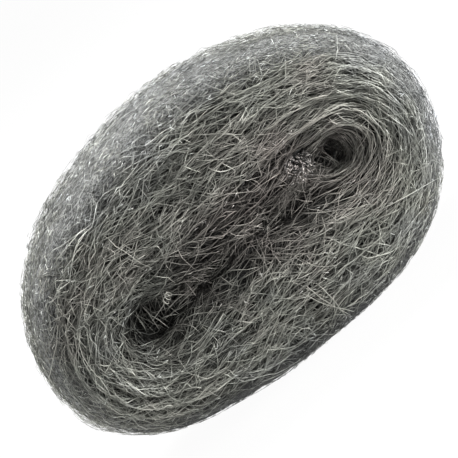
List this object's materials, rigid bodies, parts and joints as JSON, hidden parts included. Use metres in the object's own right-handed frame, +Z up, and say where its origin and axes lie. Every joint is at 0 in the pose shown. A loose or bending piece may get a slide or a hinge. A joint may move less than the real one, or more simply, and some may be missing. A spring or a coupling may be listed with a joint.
{
  "type": "steel wool bundle",
  "caption": "Hand-sized bundle of coarse steel wool: one long sliver of steel fibres wound flat into an oval roll, for scouring, stripping and polishing.",
  "frame": {"origin": "on the surface that the roll rests on, below the middle of the oval and halfway between its two wound ends", "axes": "+X along the oval's long axis; +Y along the winding axis, from the front wound end to the back one; +Z up"},
  "size_m": [0.099, 0.0464, 0.0625],
  "materials": {
    "steel_wool": "dull bright fibres over dark gaps"
  },
  "bodies": {
    "root": {"wool_roll": "steel_wool"}
  },
  "joints": []
}
